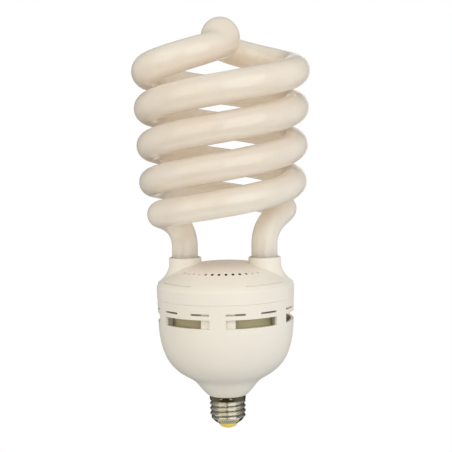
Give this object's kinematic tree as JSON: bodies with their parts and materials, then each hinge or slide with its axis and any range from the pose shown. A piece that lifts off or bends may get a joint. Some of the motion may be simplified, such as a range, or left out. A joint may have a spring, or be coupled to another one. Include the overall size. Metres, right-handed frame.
{
  "type": "spiral energy saving bulb",
  "caption": "Spiral fluorescent bulb: a coated glass tube wound as a double coil on a vented ivory ballast housing with a metal screw cap.",
  "frame": {"origin": "bottom of the centre contact, on the lamp's axis", "axes": "+Z from the screw cap up to the knob at the top of the spiral; the two legs of the tube stand on X, and the front faces -Y"},
  "size_m": [0.1284, 0.1272, 0.2986],
  "materials": {
    "coated_glass": "gloss",
    "housing_plastic": "satin",
    "cap_metal": "gloss",
    "contact_metal": "gloss",
    "cap_insulator": "satin",
    "cement": "matte",
    "board_laminate": "matte",
    "can_sleeve": "satin",
    "film_block": "satin",
    "ferrite": "matte",
    "bobbin_plastic": "matte",
    "enamelled_wire": "gloss",
    "moulded_black": "matte",
    "insulating_board": "matte",
    "resistor_body": "matte",
    "thermistor_disc": "satin",
    "tinned_wire": "satin",
    "wire_insulation": "satin"
  },
  "bodies": {
    "root": {"spiral_tube": "coated_glass", "screw_shell": "cap_metal", "cap_insulator": "cap_insulator", "centre_contact": "contact_metal", "ballast_housing": "housing_plastic", "tube_holder": "housing_plastic", "tube_cement_left": "cement", "tube_cement_right": "cement", "circuit_board": "board_laminate", "insulating_sleeve": "insulating_board", "bulk_capacitor_left": "can_sleeve", "bulk_capacitor_right": "can_sleeve", "resonant_capacitor": "film_block", "filter_capacitor": "film_block", "choke_core": "ferrite", "choke_bobbin": "bobbin_plastic", "choke_winding": "enamelled_wire", "filter_choke_core": "ferrite", "filter_choke_winding": "enamelled_wire", "drive_ring_core": "ferrite", "drive_ring_windings": "enamelled_wire", "power_transistor_first": "moulded_black", "power_transistor_second": "moulded_black", "fuse_resistor": "resistor_body", "start_thermistor": "thermistor_disc", "contact_wire": "wire_insulation", "shell_wire": "wire_insulation", "rectifier_diode_1": "moulded_black", "wrap_post_1": "tinned_wire", "electrode_wire_1": "tinned_wire", "rectifier_diode_2": "moulded_black", "wrap_post_2": "tinned_wire", "electrode_wire_2": "tinned_wire", "rectifier_diode_3": "moulded_black", "wrap_post_3": "tinned_wire", "electrode_wire_3": "tinned_wire", "rectifier_diode_4": "moulded_black", "wrap_post_4": "tinned_wire", "electrode_wire_4": "tinned_wire"}
  },
  "joints": []
}
